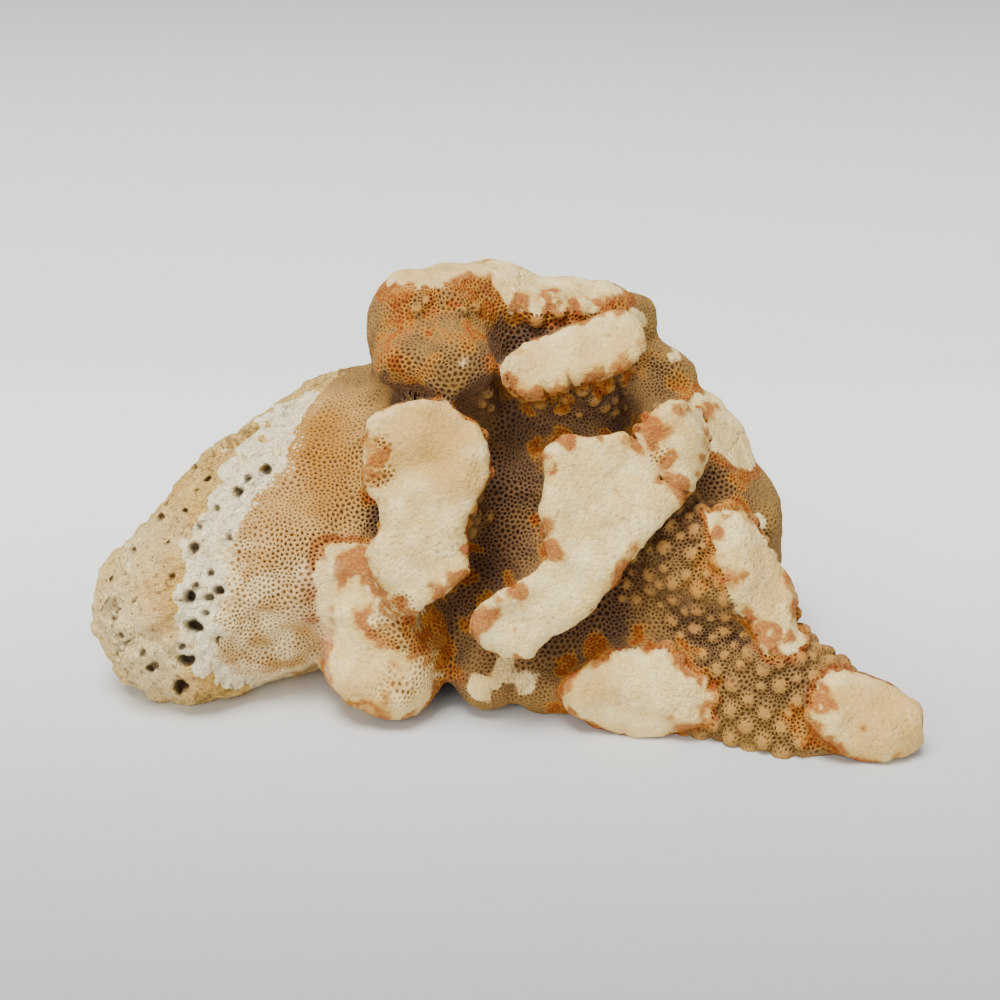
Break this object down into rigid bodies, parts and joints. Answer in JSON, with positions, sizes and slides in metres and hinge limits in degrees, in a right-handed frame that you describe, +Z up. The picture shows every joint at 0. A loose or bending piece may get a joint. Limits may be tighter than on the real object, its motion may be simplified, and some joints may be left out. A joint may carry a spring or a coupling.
{
  "type": "fossil coral head",
  "caption": "Beach-worn fossil coral head with stout flat-ended branches on a bare, bored older base, lying at rest.",
  "frame": {"origin": "on the table, under the middle of the head's bounding box", "axes": "+X along the head's length, from the bored base to the pointed branch; +Z up; -Y out of the face that the branches grew from"},
  "size_m": [0.1444, 0.0739, 0.0709],
  "materials": {
    "bare_stone": "matte, rough, bored",
    "coral_stone": "matte, finely pitted, iron-stained"
  },
  "bodies": {
    "root": {"old_base": "bare_stone", "finger_branch": "coral_stone", "top_left_branch": "coral_stone", "top_right_branch": "coral_stone", "centre_branch": "coral_stone", "knobbed_branch": "coral_stone", "pointed_branch": "coral_stone"}
  },
  "joints": []
}
